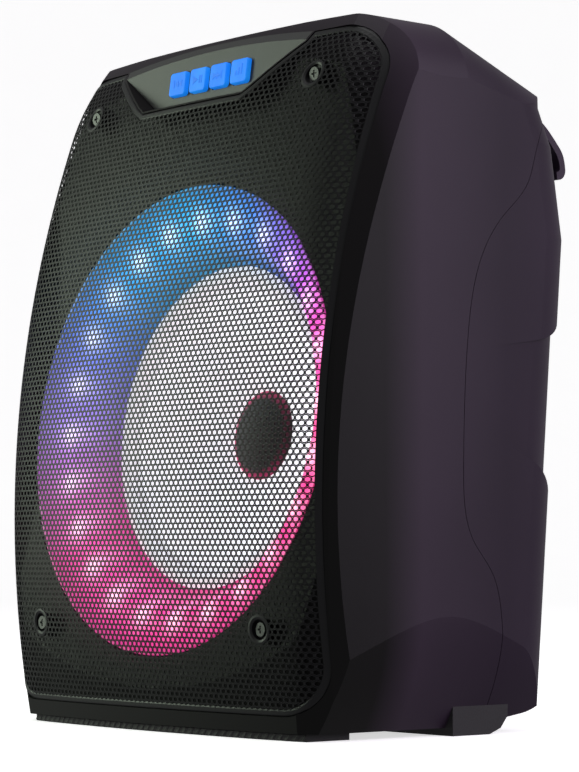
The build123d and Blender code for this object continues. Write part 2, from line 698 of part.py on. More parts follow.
def make_woofer_screws():
    screws = Part()
    for angle in WOOFER_SCREW_ANGLES:
        screw = Cylinder(3.2, 1.6, align=(Align.CENTER, Align.CENTER, Align.MAX))
        screw += Cylinder(1.5, 6.0, align=(Align.CENTER, Align.CENTER, Align.MIN))
        screws += on_baffle(Pos(*polar(WOOFER_SCREW_R, angle), 34.8) * screw)
    return screws


# ---------------------------------------------------------------- screws
def make_screw(start, direction, head_r, head_t, shank_r, length):
    """Cross-head screw: start is under the head, direction runs along the shank."""
    screw = rod(start, direction, shank_r, length)
    back = tuple(-d for d in direction)
    screw += rod(start, back, head_r, head_t)
    top = tuple(start[i] + back[i] * head_t for i in range(3))
    plane = Plane(origin=top, z_dir=back)
    for size in ((head_r * 1.1, head_r * 0.3), (head_r * 0.3, head_r * 1.1)):
        screw -= plane * Box(size[0], size[1], head_t)
    return screw


def make_grille_screws():
    screws = Part()
    for x, y, z in grille_screw_spots():
        screws += make_screw((x, y + 3.0, z), (0, 1, 0), 3.6, 1.6, 1.45, 12.0)
    return screws


def make_shell_screws():
    screws = Part()
    for z, joint_y in SHELL_SCREWS:
        for x in (-SHELL_SCREW_X, SHELL_SCREW_X):
            screws += make_screw((x, joint_y + 6.0, z), (0, -1, 0), 3.8, 2.4, 1.65, 24.0)
    return screws


def make_handle_screws():
    screws = Part()
    for x in HANDLE_SCREW_X:
        screws += make_screw((x, HANDLE_SCREW_SEAT_Y, HANDLE_SCREW_Z), (0, 1, 0), 3.8, 2.2, 1.45, 11.5)
    return screws


# ---------------------------------------------------------------- base
def make_front_foot():
    """Rubber strip under the front edge; its face follows the bowed front."""
    edge = [(x, front_y(x, SHELL_BASE_Z) + 2.5) for x in steps(-118.0, 118.0, 9)]
    outline = Spline(*edge) + Polyline(edge[-1], (118.0, -66.0), (-118.0, -66.0), edge[0])
    return extrude(make_face(outline), amount=SHELL_BASE_Z)


def make_rear_feet():
    """Two rubber blocks that fill the gap under the rising heel."""
    outline = Polyline((-8.0, 0), (18.0, 0), (26.0, 3.0), (31.0, 9.0), (31.5, 20.0), (-8.0, 20.0), close=True)
    foot = Pos(72.0, 0, 0) * extrude(Plane.YZ * make_face(outline), amount=60.0)
    foot -= outer_body(False)
    return both_sides(foot)


# ---------------------------------------------------------------- rear
def make_bass_port():
    """Flared tube that tunes the enclosure, flange on the rear wall."""
    profile = turned([
        (PORT_R, -70), (PORT_R + 2.5, -70), (PORT_R + 2.5, -5), (PORT_R + 4.2, -4), (PORT_R + 4.2, 0),
        (PORT_R + 10, 0), (PORT_R + 10, 1.0), (PORT_R + 8, 1.8), (PORT_R + 5.5, 1.0), (PORT_R + 1.5, -6),
        (PORT_R, -14),
    ])
    return on_rear(profile, PORT_Z)


DC_JACK_AT = (-36.0, 4.0)
USB_AT = (-15.0, 4.0)
AUX_AT = (4.0, 4.0)
MIC_AT = (22.0, 4.0)
ROCKER_AT = (37.8, 0.0)
ROCKER_HOUSING = (13.6, 22.0)
ROCKER_HOLE = (10.6, 18.4)


def make_rear_panel():
    width, height = REAR_PANEL_SIZE
    panel = slab(width - 0.4, height - 0.4, 0, REAR_PANEL_T)
    panel -= Pos(*DC_JACK_AT, 0) * Cylinder(4.2, 10)
    panel -= Pos(*USB_AT, 0) * Box(14.8, 7.8, 10)
    panel -= Pos(*AUX_AT, 0) * Cylinder(4.0, 10)
    panel -= Pos(*MIC_AT, 0) * Cylinder(5.8, 10)
    panel -= Pos(*ROCKER_AT, 0) * Box(ROCKER_HOUSING[0] - 2.0, ROCKER_HOUSING[1] - 2.0, 10)
    for x in (-PANEL_SCREW_X, PANEL_SCREW_X):
        for y in (-PANEL_SCREW_Y, PANEL_SCREW_Y):
            panel -= Pos(x, y, 0) * Cylinder(1.3, 10)
    return on_rear(panel, REAR_PANEL_Z)


def make_dc_jack():
    """Barrel jack with its centre pin."""
    body = slab(9.0, 11.0, REAR_PANEL_T, MAIN_BOARD_DEPTH)
    nose = Pos(0, 0, -REAR_PANEL_T / 2) * Cylinder(4.1, REAR_PANEL_T)
    bore = Pos(0, 0, -4.5) * Cylinder(3.0, 9.2)
    pin = Pos(0, 0, -6.0) * Cylinder(1.0, 7.0)
    return on_rear(Pos(*DC_JACK_AT, 0) * (body + nose - bore + pin), REAR_PANEL_Z)


def make_usb_socket():
    """Type A socket: a thin shell with a tongue in its upper half."""
    shell = slab(14.6, 7.6, -0.3, MAIN_BOARD_DEPTH)
    mouth = Pos(0, 0, 0.4) * slab(12.6, 5.6, -0.6, 13.0)
    tongue = Pos(0, 1.2, 0) * slab(11.2, 2.0, 1.0, 13.5)
    return on_rear(Pos(*USB_AT, 0) * (shell - mouth + tongue), REAR_PANEL_Z)


def make_round_jack(at, size, nose_r, bore_r, proud):
    """Round socket: a square body behind the panel and a threaded nose through it."""
    body = slab(size, size, REAR_PANEL_T, MAIN_BOARD_DEPTH)
    nose = Pos(0, 0, (proud - REAR_PANEL_T) / 2) * Cylinder(nose_r, proud + REAR_PANEL_T)
    bore = Pos(0, 0, (proud - 14.0) / 2) * Cylinder(bore_r, proud + 14.2)
    return on_rear(Pos(*at, 0) * (body + nose - bore), REAR_PANEL_Z)


def make_mic_nut():
    nut = Pos(0, 0, 1.1) * Cylinder(7.6, 2.2) - Cylinder(5.6, 10)
    for side in range(12):
        nut -= Rot(0, 0, side * 30) * Pos(7.9, 0, 1.5) * Box(1.2, 0.8, 2.0)
    return on_rear(Pos(*MIC_AT, 0) * nut, REAR_PANEL_Z)


ROCKER_PIVOT = 2.6          # depth of the rocker's axis behind the panel's face
ROCKER_TILT = 8.0


def make_rocker_housing():
    width, height = ROCKER_HOUSING
    housing = slab(width, height, -1.5, 0) + slab(width - 2.2, height - 2.2, 0, MAIN_BOARD_DEPTH)
    housing -= slab(ROCKER_HOLE[0], ROCKER_HOLE[1], -3.0, 9.5)
    return on_rear(Pos(*ROCKER_AT, 0) * housing, REAR_PANEL_Z)


def make_power_rocker():
    """Rocker paddle, shown in its off position."""
    half = ROCKER_HOLE[1] / 2 - 0.9
    outline = Polyline((-half, 2.6), (0, 1.4), (half, 2.6), (half - 0.6, -3.6), (-half + 0.6, -3.6), close=True)
    paddle = extrude(Plane.YZ * make_face(outline), amount=ROCKER_HOLE[0] / 2 - 0.4, both=True)
    paddle = Rot(ROCKER_TILT, 0, 0) * paddle
    return on_rear(Pos(*ROCKER_AT, -ROCKER_PIVOT + 1.8) * paddle, REAR_PANEL_Z)


def make_rear_panel_screws():
    screws = Part()
    for x in (-PANEL_SCREW_X, PANEL_SCREW_X):
        for y in (-PANEL_SCREW_Y, PANEL_SCREW_Y):
            screws += on_rear(make_screw((x, y, 0), (0, 0, -1), 1.9, 1.0, 1.2, 5.5), REAR_PANEL_Z)
    return screws


# ---------------------------------------------------------------- boards and battery
BOARD_T = 1.6
BOARD_BACK = MAIN_BOARD_DEPTH + BOARD_T


def make_main_board():
    board = slab(94.0, 84.0, MAIN_BOARD_DEPTH, BOARD_BACK)
    for x in (-BOARD_POST_X, BOARD_POST_X):
        for y in (-BOARD_POST_Y, BOARD_POST_Y):
            board -= Pos(x, y, -MAIN_BOARD_DEPTH) * Cylinder(1.7, 6)
    return on_rear(board, REAR_PANEL_Z)


def make_board_screws():
    screws = Part()
    for x in (-BOARD_POST_X, BOARD_POST_X):
        for y in (-BOARD_POST_Y, BOARD_POST_Y):
            screws += on_rear(make_screw((x, y, -BOARD_BACK), (0, 0, 1), 2.8, 1.6, 1.15, 9.0), REAR_PANEL_Z)
    return screws


def make_heat_sink():
    """Finned block on the amplifier chip."""
    sink = Pos(-14, 18, 0) * slab(40, 24, BOARD_BACK, BOARD_BACK + 4)
    for i in range(7):
        sink += Pos(-32 + 6 * i, 18, 0) * slab(1.6, 24, BOARD_BACK + 4, BOARD_BACK + 16)
    return on_rear(sink, REAR_PANEL_Z)


def make_capacitors():
    cans = Part()
    for x, y, radius, height in ((18, 22, 6.3, 14), (18, 6, 5.0, 12), (30, 6, 4.0, 11), (4, -6, 4.0, 11)):
        can = Pos(x, y, -(BOARD_BACK + height / 2)) * Cylinder(radius, height)
        cans += on_rear(can, REAR_PANEL_Z)
    return cans


def make_board_chips():
    chips = Part()
    for x, y, width, height in ((-22, -8, 10, 10), (-4, -22, 8, 6), (14, -10, 7, 7), (-34, -24, 6, 9)):
        chips += on_rear(Pos(x, y, 0) * slab(width, height, BOARD_BACK, BOARD_BACK + 1.5), REAR_PANEL_Z)
    return chips


def make_bluetooth_module():
    """Small board with a shield can, on the main board."""
    board = Pos(32, -20, 0) * slab(14, 20, BOARD_BACK, BOARD_BACK + 1.0)
    can = Pos(32, -22, 0) * slab(11, 12, BOARD_BACK + 1.0, BOARD_BACK + 3.0)
    return on_rear(board + can, REAR_PANEL_Z)


LEAD_X = 4.0
LEAD_R = 1.0
PLUG_Y = -34.0


def make_lead_plug():
    """Two-way plug on the main board for the speaker leads."""
    plug = Pos(0, PLUG_Y, 0) * slab(14, 7, BOARD_BACK, BOARD_BACK + 8)
    return on_rear(plug, REAR_PANEL_Z)


def make_terminal_strip():
    """Solder strip on the basket's lowest leg."""
    return on_baffle(Pos(0, 69.2, 63) * Box(16, 7.6, 2)) - make_basket()


def baffle_point(x, down, depth):
    lean = math.radians(BAFFLE_LEAN)
    y = WOOFER_Y + depth * math.cos(lean) - down * math.sin(lean)
    return (x, y, WOOFER_Z - down * math.cos(lean) - depth * math.sin(lean))


def make_speaker_leads():
    """Two insulated leads from the main board's plug to the woofer's terminals."""
    lean = math.atan(REAR_LEAN)
    plug_face = BOARD_BACK + 8.1
    end_y = rear_wall_y(REAR_PANEL_Z) - REAR_WALL_TRIM - plug_face * math.cos(lean) + PLUG_Y * math.sin(lean)
    end_z = REAR_PANEL_Z + plug_face * math.sin(lean) + PLUG_Y * math.cos(lean)
    leads = Part()
    for x in (-LEAD_X, LEAD_X):
        start = baffle_point(x, 70.0, 64.0)
        route = [start, baffle_point(x, 70.0, 78.0), (x, 8.0, 62.0), (x, end_y - 12.0, end_z + 1.0), (x, end_y, end_z)]
        path = FilletPolyline(*route, radius=5.0)
        leads += sweep(Plane(origin=path @ 0, z_dir=path % 0) * Circle(LEAD_R), path=path)
    return leads


CELL_R = 9.2
CELL_LENGTH = 65.0
CELL_ROWS = (-45.5, -25.5)
TRAY_FLOOR_Z = SHELL_BASE_Z + WALL
TRAY_WALL = 1.5


def make_battery_tray():
    low = (-68.0, CELL_ROWS[0] - 11.0, TRAY_FLOOR_Z)
    high = (68.0, CELL_ROWS[1] + 11.0, TRAY_FLOOR_Z + TRAY_WALL + 2 * CELL_R + 0.4)
    inner_low = (low[0] + TRAY_WALL, low[1] + TRAY_WALL, low[2] + TRAY_WALL)
    inner_high = (high[0] - TRAY_WALL, high[1] - TRAY_WALL, high[2] + 1.0)
    return box_between(low, high) - box_between(inner_low, inner_high)


def make_battery_lid():
    base_z = TRAY_FLOOR_Z + TRAY_WALL + 2 * CELL_R + 0.4
    return box_between((-68.0, CELL_ROWS[0] - 11.0, base_z), (68.0, CELL_ROWS[1] + 11.0, base_z + 1.6))


def make_battery_cells():
    cells = Part()
    middle_z = TRAY_FLOOR_Z + TRAY_WALL + CELL_R + 0.1
    for y in CELL_ROWS:
        for x in (-CELL_LENGTH - 0.6, 0.6):
            cell = rod((x, y, middle_z), (1, 0, 0), CELL_R, CELL_LENGTH)
            cells += cell
    return cells


def make_damping_pads():
    """Felt on the inside of both side walls."""
    layer = plan_loft(WALL, True) - plan_loft(WALL + 6.0, True)
    pads = layer & (box_between((100, -46, 70), (150, 40, 150)) + box_between((100, -46, 180), (150, 40, 270)))
    return both_sides(pads)


# ---------------------------------------------------------------- all nodes
NODES = {
    "front_shell": make_front_shell,
    "rear_shell": make_rear_shell,
    "carry_handle": make_handle,
    "front_grille": make_grille,
    "control_panel": make_control_panel,
    "tact_switches": make_tact_switches,
    "button_board": make_button_board,
    "button_board_posts": make_button_board_posts,
    "light_ring": make_light_ring,
    "led_board": make_led_board,
    "leds": make_leds,
    "woofer_basket": make_basket,
    "woofer_gasket": make_gasket,
    "surround": make_surround,
    "cone": make_cone,
    "dust_cap": make_dust_cap,
    "voice_coil": make_voice_coil,
    "spider": make_spider,
    "top_plate": make_top_plate,
    "magnet": make_magnet,
    "back_plate": make_back_plate,
    "woofer_screws": make_woofer_screws,
    "grille_screws": make_grille_screws,
    "shell_screws": make_shell_screws,
    "handle_screws": make_handle_screws,
    "front_foot": make_front_foot,
    "rear_feet": make_rear_feet,
    "bass_port": make_bass_port,
    "rear_panel": make_rear_panel,
    "dc_jack": make_dc_jack,
    "usb_socket": make_usb_socket,
    "aux_jack": lambda: make_round_jack(AUX_AT, 11.0, 3.8, 1.8, 1.0),
    "mic_jack": lambda: make_round_jack(MIC_AT, 15.0, 5.5, 3.25, 2.6),
    "mic_jack_nut": make_mic_nut,
    "rocker_housing": make_rocker_housing,
    "power_rocker": make_power_rocker,
    "rear_panel_screws": make_rear_panel_screws,
    "main_board": make_main_board,
    "board_screws": make_board_screws,
    "heat_sink": make_heat_sink,
    "capacitors": make_capacitors,
    "board_chips": make_board_chips,
    "bluetooth_module": make_bluetooth_module,
    "lead_plug": make_lead_plug,
    "terminal_strip": make_terminal_strip,
    "speaker_leads": make_speaker_leads,
    "battery_tray": make_battery_tray,
    "battery_lid": make_battery_lid,
    "battery_cells": make_battery_cells,
    "damping_pads": make_damping_pads,
}
for index, centre in enumerate(button_centres()):
    NODES[f"button_{index + 1}"] = lambda x=centre: make_button(x)

os.makedirs("parts", exist_ok=True)
for name, build in NODES.items():
    export_step(build(), f"parts/{name}.step")
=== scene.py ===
import json
import math

import bpy
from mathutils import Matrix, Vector


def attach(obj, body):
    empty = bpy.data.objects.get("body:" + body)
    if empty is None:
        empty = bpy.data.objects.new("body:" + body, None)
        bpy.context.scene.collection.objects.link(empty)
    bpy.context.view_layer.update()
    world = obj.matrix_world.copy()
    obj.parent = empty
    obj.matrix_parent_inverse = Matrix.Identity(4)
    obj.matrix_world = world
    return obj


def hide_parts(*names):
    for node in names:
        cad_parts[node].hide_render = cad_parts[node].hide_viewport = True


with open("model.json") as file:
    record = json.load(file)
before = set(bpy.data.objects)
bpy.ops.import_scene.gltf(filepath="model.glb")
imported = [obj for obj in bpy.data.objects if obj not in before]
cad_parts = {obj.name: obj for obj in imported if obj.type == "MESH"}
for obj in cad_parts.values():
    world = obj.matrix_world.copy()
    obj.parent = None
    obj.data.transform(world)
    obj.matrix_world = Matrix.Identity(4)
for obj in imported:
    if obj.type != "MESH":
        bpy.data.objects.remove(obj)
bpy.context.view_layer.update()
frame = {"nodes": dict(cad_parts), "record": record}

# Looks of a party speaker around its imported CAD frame. Lengths in the tables below are in
# millimetres, as on the drawing, and MM turns them into metres. -Y is the listener's side.
MM = 0.001
nodes = frame["nodes"]

# The bowed front: a centre field and two flanks that fold back to the frame's edge
FIELD_Y, FIELD_LOW_Z, FIELD_ARC_R, FIELD_BOW_R = -114.0, 113.5, 687.5, 1118.0
EDGE_X, EDGE_Y, EDGE_LOW_Z, EDGE_ARC_R = 140.0, -93.7, 121.0, 520.0
FLANK_SLOPE = math.tan(math.radians(50.0))
FOLD_SOFTNESS = 8.0
ROLL_Z, ROLL_R = 331.0, 100.0

# Grille
GRILLE_T = 0.45
GRILLE_HALF, GRILLE_BASE_Z, GRILLE_TOP_Z = 135.0, 12.5, 366.0
GRILLE_BASE_R, GRILLE_TOP_R = 26.0, 30.0
NOTCH = (                   # right half of the notch round the control panel
    (82.6, 366.0), (80.2, 360.7), (50.8, 340.3), (43.0, 336.1),
)
HOLE_PITCH, HOLE_ROW, HOLE_R = 3.9, 2.8, 1.62
HOLE_FLATNESS = 0.76        # a hole's height over its width
RIM_W = 3.4
SCREW_X, SCREW_ROWS, SCREW_CUP_R = 96.0, (55.5, 340.5), 5.2

# Woofer and light ring, about an axis that leans back
AXIS_Y, AXIS_Z, AXIS_LEAN = -87.5, 166.0, math.radians(7.0)
RING_OUTER_R, LED_R, CONE_VIEW_R, CAP_R = 127.0, 108.0, 88.6, 24.7
LED_COUNT, LED_START = 24, math.radians(92.7)
POINTS_PER_LED = 12         # points of the diffuser's mesh round each LED's share
DIFFUSER_T = 1.4
DOME_HEIGHT, DOME_SPREAD = 1.7, 30.0
SPOT_SPREAD, BAND_SPREAD = 5.0, 14.0    # how far a hot spot and the lit band reach
CAP_RIM_DEPTH = 61.0

# Control panel
PANEL_Y, PANEL_Z, PANEL_LEAN = -64.0, 344.0, math.radians(8.0)
BUTTON_PITCH, BUTTON_Z, BUTTON_PROUD = 18.0, 352.0, 2.4
BUTTON_COUNT = 4
SYMBOL_SUNK, SYMBOL_PROUD = 0.05, 0.16

# Shell's change of tone and painted shade: from where, in Y, and over what length
SHELL_TONE_AND_SHADE_START, SHELL_TONE_AND_SHADE_LENGTH = -100.0, 200.0

# Front foot
FOOT_HALF, FOOT_BACK_Y, FOOT_HEIGHT, FOOT_STEPS = 118.0, -66.0, 4.0, 236
FOOT_SETBACK = 3.4          # how far it stands behind the line of the front
RIB_PITCH, RIB_DEPTH, RIB_SLANT = 5.2, 0.45, 0.9
FOOT_BELLY = 0.3            # how far its face bulges between top and bottom


# ---------------------------------------------------------------- geometry helpers
def front_y(x, z):
    """Y of the bowed front at x and z."""
    roll = max(0.0, z - ROLL_Z) ** 2 / (2 * ROLL_R)
    field = FIELD_Y + (z - FIELD_LOW_Z) ** 2 / (2 * FIELD_ARC_R) + x * x / (2 * FIELD_BOW_R)
    flank = EDGE_Y + (z - EDGE_LOW_Z) ** 2 / (2 * EDGE_ARC_R) - (EDGE_X - abs(x)) * FLANK_SLOPE
    return roll + 0.5 * (field + flank + math.hypot(field - flank, FOLD_SOFTNESS))


def on_axis(x, up, depth):
    """A point from the woofer's own frame: up the baffle, depth behind its face."""
    lean_c, lean_s = math.cos(AXIS_LEAN), math.sin(AXIS_LEAN)
    y = AXIS_Y + depth * lean_c + up * lean_s
    z = AXIS_Z + up * lean_c - depth * lean_s
    return (x * MM, y * MM, z * MM)


def on_panel(x, up, out):
    """A point from the panel's own frame: up its face, out of it."""
    lean_c, lean_s = math.cos(PANEL_LEAN), math.sin(PANEL_LEAN)
    y = PANEL_Y - out * lean_c + up * lean_s
    z = PANEL_Z + up * lean_c + out * lean_s
    return (x * MM, y * MM, z * MM)


def new_piece(name, points, faces, smooth=True):
    mesh = bpy.data.meshes.new(name)
    mesh.from_pydata(points, [], faces)
    mesh.validate()
    mesh.update()
    for polygon in mesh.polygons:
        polygon.use_smooth = smooth
    piece = bpy.data.objects.new(name, mesh)
    bpy.context.scene.collection.objects.link(piece)
    return piece


def turned_mesh(name, profile, segments, place):
    """Ring or dome from (radius, depth) points; a radius of 0 closes it with one point."""
    points, rows = [], []
    for radius, depth in profile:
        if radius < 1e-6:
            rows.append([len(points)] * segments)
            points.append(place(0, 0, depth))
            continue
        rows.append(list(range(len(points), len(points) + segments)))
        for i in range(segments):
            angle = 2 * math.pi * i / segments
            points.append(place(radius * math.cos(angle), radius * math.sin(angle), depth))
    faces = []
    for first, second in zip(rows, rows[1:]):
        for i in range(segments):
            j = (i + 1) % segments
            face = []
            for index in (first[i], first[j], second[j], second[i]):
                if index not in face:
                    face.append(index)
            faces.append(face)
    return new_piece(name, points, faces)


def arc_points(centre, radius, start, end, count):
    """Points on an arc, angles in degrees, both ends included."""
    angles = [math.radians(start + (end - start) * i / (count - 1)) for i in range(count)]
    return [(centre[0] + radius * math.cos(a), centre[1] + radius * math.sin(a)) for a in angles]


# ---------------------------------------------------------------- grille
def grille_outline():
    """Front view outline of the grille, anticlockwise, in millimetres."""
    low_x, high_x = GRILLE_HALF - GRILLE_BASE_R, GRILLE_HALF - GRILLE_TOP_R
    right = arc_points((low_x, GRILLE_BASE_Z + GRILLE_BASE_R), GRILLE_BASE_R, -90, 0, 9)
    right += arc_points((high_x, GRILLE_TOP_Z - GRILLE_TOP_R), GRILLE_TOP_R, 0, 90, 9)
    right += list(NOTCH)
    return right + [(-x, z) for x, z in reversed(right)]


def spaced(outline, step):
    """The closed outline with points at most step apart."""
    points = []
    for (x0, z0), (x1, z1) in zip(outline, outline[1:] + outline[:1]):
        parts = max(1, math.ceil(math.hypot(x1 - x0, z1 - z0) / step))
        points += [(x0 + (x1 - x0) * i / parts, z0 + (z1 - z0) * i / parts) for i in range(parts)]
    return points


def inside_by(outline, x, z):
    """Distance from the outline, positive inside it."""
    inside, nearest = False, 1e9
    for (x0, z0), (x1, z1) in zip(outline, outline[1:] + outline[:1]):
        if (z0 > z) != (z1 > z) and x < (x1 - x0) * (z - z0) / (z1 - z0) + x0:
            inside = not inside
        length_2 = (x1 - x0) ** 2 + (z1 - z0) ** 2
        along = min(1.0, max(0.0, ((x - x0) * (x1 - x0) + (z - z0) * (z1 - z0)) / length_2))
        nearest = min(nearest, math.hypot(x - x0 - along * (x1 - x0), z - z0 - along * (z1 - z0)))
    return nearest if inside else -nearest


def perforated_sheet(outline):
    """Staggered holes: each cell is a hexagon with a round-ended hole, closed front and back."""
    cell = [(0.5, 1 / 6), (0, 0.5), (-0.5, 1 / 6), (-0.5, -1 / 6), (0, -0.5), (0.5, -1 / 6)]
    corners = [(cx * HOLE_PITCH, cz * HOLE_ROW * 4 / 3) for cx, cz in cell]
    angles = [math.radians(angle) for angle in range(30, 390, 60)]
    hole = [(HOLE_R * math.cos(a), HOLE_R * HOLE_FLATNESS * math.sin(a)) for a in angles]
    points, faces, known = [], [], {}

    def corner(x, z, back):
        key = (round(x * 100), round(z * 100), back)
        if key not in known:
            known[key] = len(points)
            points.append((x * MM, (front_y(x, z) + back * GRILLE_T) * MM, z * MM))
        return known[key]

    screws = [(side * SCREW_X, z) for side in (-1, 1) for z in SCREW_ROWS]
    rows = int((GRILLE_TOP_Z - GRILLE_BASE_Z) / HOLE_ROW)
    columns = int(GRILLE_HALF / HOLE_PITCH) + 1
    for row in range(rows + 1):
        z = GRILLE_BASE_Z + row * HOLE_ROW
        for column in range(-columns, columns + 1):
            x = (column + 0.5 * (row % 2)) * HOLE_PITCH
            if inside_by(outline, x, z) < RIM_W * 0.75:
                continue
            if min(math.hypot(x - sx, z - sz) for sx, sz in screws) < SCREW_CUP_R + 1.6:
                continue
            rings = []
            for back in (0, 1):
                outer = [corner(x + dx, z + dz, back) for dx, dz in corners]
                inner = list(range(len(points), len(points) + 6))
                points.extend(
                    ((x + dx) * MM, (front_y(x + dx, z + dz) + back * GRILLE_T) * MM, (z + dz) * MM)
                    for dx, dz in hole
                )
                rings.append((outer, inner))
            (outer, inner), (outer_back, inner_back) = rings
            for i in range(6):
                j = (i + 1) % 6
                faces.append((outer[i], inner[i], inner[j], outer[j]))
                faces.append((outer_back[i], outer_back[j], inner_back[j], inner_back[i]))
                faces.append((inner[i], inner_back[i], inner_back[j], inner[j]))
    return points, faces


def grille_rim(outline):
    """Plain rolled border that closes the sheet's edge."""
    track = spaced(outline, 5.0)
    section = (
        (0.1, 1.5), (0.0, 0.5), (0.35, 0.0), (0.9, -0.15), (RIM_W - 0.8, -0.12), (RIM_W, 0.3), (RIM_W, 1.5),
    )
    points, faces = [], []
    count, width = len(track), len(section)
    for i in range(count):
        before, after = track[i - 1], track[(i + 1) % count]
        dx, dz = after[0] - before[0], after[1] - before[1]
        length = math.hypot(dx, dz)
        inward = (-dz / length, dx / length)
        for offset, depth in section:
            x, z = track[i][0] + inward[0] * offset, track[i][1] + inward[1] * offset
            points.append((x * MM, (front_y(x, z) + depth) * MM, z * MM))
    for i in range(count):
        j = (i + 1) % count
        for k in range(width):
            m = (k + 1) % width
            faces.append((i * width + k, i * width + m, j * width + m, j * width + k))
    return points, faces


def screw_cup(x0, z0):
    """Dished seat for one grille screw, pressed into the sheet."""
    profile = (
        (SCREW_CUP_R + 2.4, 1.1), (SCREW_CUP_R + 2.4, -0.1), (SCREW_CUP_R + 1.2, -0.25), (SCREW_CUP_R, 0.3),
        (SCREW_CUP_R - 0.3, 2.9), (4.0, 3.3), (2.0, 3.35), (2.0, 4.0), (SCREW_CUP_R + 0.3, 3.9),
        (SCREW_CUP_R + 0.8, 1.1),
    )
    segments = 28
    points, faces = [], []
    for radius, depth in profile:
        for i in range(segments):
            angle = 2 * math.pi * i / segments
            x, z = x0 + radius * math.cos(angle), z0 + radius * math.sin(angle)
            points.append((x * MM, (front_y(x, z) + depth) * MM, z * MM))
    for k in range(len(profile)):
        m = (k + 1) % len(profile)
        for i in range(segments):
            j = (i + 1) % segments
            faces.append((k * segments + i, k * segments + j, m * segments + j, m * segments + i))
    return points, faces


def make_grille():
    """Sheet, rim and screw cups as one pressed part."""
    outline = grille_outline()
    points, faces = perforated_sheet(outline)
    cups = [screw_cup(side * SCREW_X, z) for side in (-1, 1) for z in SCREW_ROWS]
    extras = [grille_rim(outline)] + cups
    for more_points, more_faces in extras:
        start = len(points)
        points += more_points
        faces += [tuple(start + i for i in face) for face in more_faces]
    grille = new_piece("perforated_grille", points, faces, smooth=False)
    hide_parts("front_grille")
    return grille


# ---------------------------------------------------------------- light ring and woofer
def make_light_ring():
    """Milky diffuser with a shallow dome over each LED."""
    profile = (
        (RING_OUTER_R, 0.2), (125.6, 1.0), (122.0, 3.6), (117.6, 6.6), (113.4, 9.0), (108.0, 10.3),
        (103.2, 11.4), (101.4, 13.6), (98.6, 18.0), (94.4, 24.4), (91.0, 29.2), (CONE_VIEW_R, 30.0),
    )
    segments = LED_COUNT * POINTS_PER_LED
    points, faces = [], []
    for back in (0.0, DIFFUSER_T):
        for radius, depth in profile:
            for i in range(segments):
                angle = LED_START + 2 * math.pi * i / segments
                along = (i / POINTS_PER_LED + 0.5) % 1.0 - 0.5
                arc = along * 2 * math.pi / LED_COUNT * radius
                dome = DOME_HEIGHT * math.exp(-(arc * arc + (radius - LED_R) ** 2) / DOME_SPREAD)
                across, up = radius * math.cos(angle), radius * math.sin(angle)
                points.append(on_axis(across, up, depth + back - dome))
    rows = len(profile)
    for side in (0, 1):
        for k in range(rows - 1):
            low, high = (side * rows + k) * segments, (side * rows + k + 1) * segments
            for i in range(segments):
                j = (i + 1) % segments
                face = (low + i, low + j, high + j, high + i)
                faces.append(face if side == 0 else face[::-1])
    for k in (0, rows - 1):
        low, high = k * segments, (rows + k) * segments
        for i in range(segments):
            j = (i + 1) % segments
            faces.append((low + i, high + i, high + j, low + j))
    ring = new_piece("glow_ring", points, faces)
    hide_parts("light_ring")
    return ring


def make_dust_dome():
    """Domed cap with a rolled edge, glued over the cone's middle."""
    profile = [(0, 55.1)] + [(r, 55.1 + 6.2 * (r / CAP_R) ** 2) for r in (4, 8, 12, 16, 20, 23)]
    profile += [(24.4, 61.6), (CAP_R, 62.0), (24.5, 62.4), (23.4, 62.2)]
    profile += [(r, 56.0 + 6.2 * (r / CAP_R) ** 2) for r in (20, 12, 5)] + [(0, 56.0)]
    cap = turned_mesh("dust_dome", profile, 96, on_axis)
    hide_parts("dust_cap")
    return cap


# ---------------------------------------------------------------- base
def make_ribbed_foot():
    """Rubber strip with slanted ribs along its front face."""
    points, faces = [], []
    levels = (0.0, 0.7, 2.0, 3.3, FOOT_HEIGHT)
    for i in range(FOOT_STEPS + 1):
        x = -FOOT_HALF + 2 * FOOT_HALF * i / FOOT_STEPS
        for level in levels:
            y = front_y(x, FOOT_HEIGHT) + FOOT_SETBACK
            if 0.0 < level < FOOT_HEIGHT:
                wave = math.sin(2 * math.pi * (x - RIB_SLANT * level) / RIB_PITCH)
                y -= RIB_DEPTH * max(0.0, wave) + FOOT_BELLY
            points.append((x * MM, y * MM, level * MM))
        points.append((x * MM, FOOT_BACK_Y * MM, FOOT_HEIGHT * MM))
        points.append((x * MM, FOOT_BACK_Y * MM, 0.0))
    width = len(levels) + 2
    for i in range(FOOT_STEPS):
        for k in range(width):
            m = (k + 1) % width
            faces.append((i * width + k, (i + 1) * width + k, (i + 1) * width + m, i * width + m))
    faces.append(tuple(range(width)))
    faces.append(tuple(FOOT_STEPS * width + k for k in reversed(range(width))))
    foot = new_piece("ribbed_foot_strip", points, faces, smooth=False)
    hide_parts("front_foot")
    return foot


# ---------------------------------------------------------------- button symbols
def raised_shape(outline, x0):
    """Points and faces of one raised flat shape on a button's face."""
    low = [on_panel(x0 + x, BUTTON_Z - PANEL_Z + z, BUTTON_PROUD - SYMBOL_SUNK) for x, z in outline]
    high = [on_panel(x0 + x, BUTTON_Z - PANEL_Z + z, BUTTON_PROUD + SYMBOL_PROUD) for x, z in outline]
    count = len(outline)
    faces = [tuple(range(count, 2 * count)), tuple(reversed(range(count)))]
    faces += [(i, (i + 1) % count, count + (i + 1) % count, count + i) for i in range(count)]
    return low + high, faces


def bar(x, z, width, height):
    """Upright bar about x and z."""
    left, right = x - width / 2, x + width / 2
    low, high = z - height / 2, z + height / 2
    return [(left, low), (right, low), (right, high), (left, high)]


def pointer(x, z, size, way):
    """Triangle that points right for way 1 and left for way -1."""
    base_x, rise = x - way * size / 2, size * 0.55
    shape = [(base_x, z - rise), (x + way * size / 2, z), (base_x, z + rise)]
    return shape if way > 0 else shape[::-1]


